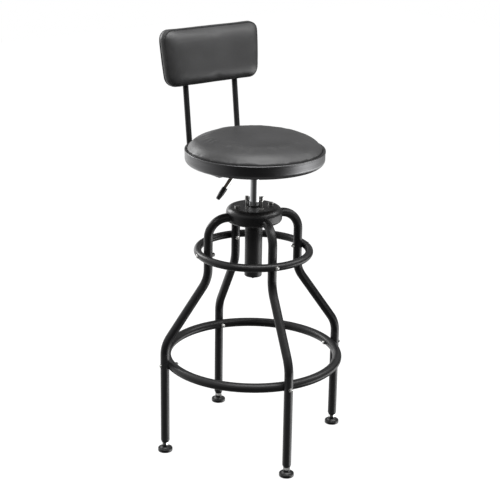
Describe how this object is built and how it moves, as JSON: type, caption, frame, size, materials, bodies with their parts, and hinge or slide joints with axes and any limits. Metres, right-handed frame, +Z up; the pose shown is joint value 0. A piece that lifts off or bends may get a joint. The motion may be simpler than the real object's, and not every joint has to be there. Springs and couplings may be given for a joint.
{
  "type": "machinist stool",
  "caption": "Backed work stool: round padded seat on a gas lift, small padded backrest on bent posts, bent tube legs tied by an upper ring and a footrest ring, levelling feet.",
  "frame": {"origin": "on the floor, on the axis of the column and gas lift, midway between the four feet", "axes": "+Z up, -Y towards the front of the seat, +Y towards the backrest, +X to the right when seen from the front"},
  "size_m": [0.5228, 0.5228, 1.127],
  "materials": {
    "black_paint": "satin",
    "band_paint": "satin",
    "casting": "satin",
    "chrome": "polished",
    "steel": "satin",
    "dark_steel": "satin",
    "black_plastic": "satin",
    "rubber": "matte",
    "upholstery": "satin",
    "plywood": "matte"
  },
  "bodies": {
    "base": {"hub": "casting", "column": "black_paint", "guide_bush": "black_plastic", "neck_seal": "rubber", "neck_bolts": "steel", "hub_bolts": "dark_steel", "leg_1": "black_paint", "leg_2": "black_paint", "leg_3": "black_paint", "leg_4": "black_paint", "leg_insert_1": "black_plastic", "leg_insert_2": "black_plastic", "leg_insert_3": "black_plastic", "leg_insert_4": "black_plastic", "upper_ring": "black_paint", "lower_ring": "black_paint", "upper_ring_bolts": "steel", "upper_ring_nuts": "steel", "lower_ring_bolts": "steel", "lower_ring_nuts": "steel", "thrust_bearing": "steel"},
    "lift_rod": {"piston_rod": "steel", "piston": "steel", "rod_washer": "steel", "rod_clip": "steel", "bump_stop": "rubber"},
    "seat": {"pressure_cylinder": "chrome", "cylinder_gland": "steel", "valve_block": "steel", "seat_plate": "black_paint", "lift_socket": "black_paint", "lever_bracket": "black_paint", "lever_pin": "steel", "plate_screws": "steel", "seat_board": "plywood", "seat_band": "band_paint", "seat_cushion": "upholstery", "post_left": "black_paint", "post_right": "black_paint", "post_clamp_left": "black_paint", "post_clamp_right": "black_paint", "clamp_screws": "steel", "back_board": "plywood", "tab_screws": "steel", "backrest_pad": "upholstery"},
    "lever": {"lever": "steel", "lever_grip": "black_plastic"},
    "valve_pin": {"valve_pin": "steel"},
    "foot_1": {"foot_pad_1": "black_plastic", "foot_stem_1": "steel", "foot_nut_1": "steel"},
    "foot_2": {"foot_pad_2": "black_plastic", "foot_stem_2": "steel", "foot_nut_2": "steel"},
    "foot_3": {"foot_pad_3": "black_plastic", "foot_stem_3": "steel", "foot_nut_3": "steel"},
    "foot_4": {"foot_pad_4": "black_plastic", "foot_stem_4": "steel", "foot_nut_4": "steel"}
  },
  "joints": [
    {"name": "seat_swivel", "type": "hinge", "parent": "base", "child": "lift_rod", "pos_m": [0, 0, 0], "axis": [0, 0, 1], "continuous": true},
    {"name": "seat_height", "type": "slide", "parent": "lift_rod", "child": "seat", "axis": [0, 0, 1], "range_m": [-0.05, 0.055]},
    {"name": "lever_pivot", "type": "hinge", "parent": "seat", "child": "lever", "pos_m": [-0.034, 0, 0.783], "axis": [0, 1, 0], "range_deg": [0, 5], "stiffness_Nm_per_rad": 8, "springref_deg": -2.86},
    {"name": "valve_pin_slide", "type": "slide", "parent": "seat", "child": "valve_pin", "axis": [0, 0, -1], "range_m": [0, 0.0031]},
    {"name": "foot_1_level", "type": "slide", "parent": "base", "child": "foot_1", "axis": [0, 0, -1], "range_m": [0, 0.015]},
    {"name": "foot_2_level", "type": "slide", "parent": "base", "child": "foot_2", "axis": [0, 0, -1], "range_m": [0, 0.015]},
    {"name": "foot_3_level", "type": "slide", "parent": "base", "child": "foot_3", "axis": [0, 0, -1], "range_m": [0, 0.015]},
    {"name": "foot_4_level", "type": "slide", "parent": "base", "child": "foot_4", "axis": [0, 0, -1], "range_m": [0, 0.015]}
  ],
  "couplings": [
    {"joint": "valve_pin_slide", "follows": "lever_pivot", "m_per_rad": 0.035}
  ]
}
